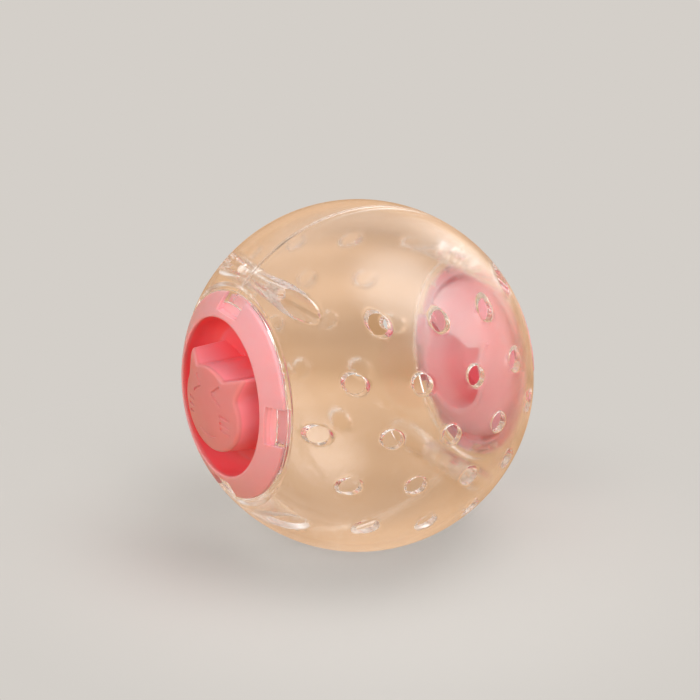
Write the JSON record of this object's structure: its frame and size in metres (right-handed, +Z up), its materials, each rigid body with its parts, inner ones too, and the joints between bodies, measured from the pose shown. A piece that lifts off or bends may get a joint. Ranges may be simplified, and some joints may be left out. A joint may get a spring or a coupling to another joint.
{
  "type": "treat dispensing ball",
  "caption": "Clear plastic pet ball in two drilled half shells, with a pink twist-lock door at each end, each with a cat-head grip standing in a round dish; treats fall out of the holes.",
  "frame": {"origin": "centre of the ball", "axes": "+X along the axis of the two doors, +Y across the seam from the front half to the rear half, +Z up along the seam"},
  "size_m": [0.118, 0.1196, 0.12],
  "materials": {
    "clear_shell": "clear, polished",
    "pink_door": "satin moulded",
    "clear_pin": "clear, moulded"
  },
  "bodies": {
    "ball": {"front_half_shell": "clear_shell", "rear_half_shell": "clear_shell", "snap_pin_upper_left": "clear_pin", "snap_pin_lower_left": "clear_pin", "snap_pin_upper_right": "clear_pin", "snap_pin_lower_right": "clear_pin"},
    "left_door": {"left_door": "pink_door"},
    "right_door": {"right_door": "pink_door"}
  },
  "joints": [
    {"name": "left_door_twist", "type": "hinge", "parent": "ball", "child": "left_door", "pos_m": [-0.0456, 0, 0], "axis": [-1, 0, 0], "range_deg": [0, 45]},
    {"name": "right_door_twist", "type": "hinge", "parent": "ball", "child": "right_door", "pos_m": [0.0456, 0, 0], "axis": [1, 0, 0], "range_deg": [0, 45]}
  ]
}
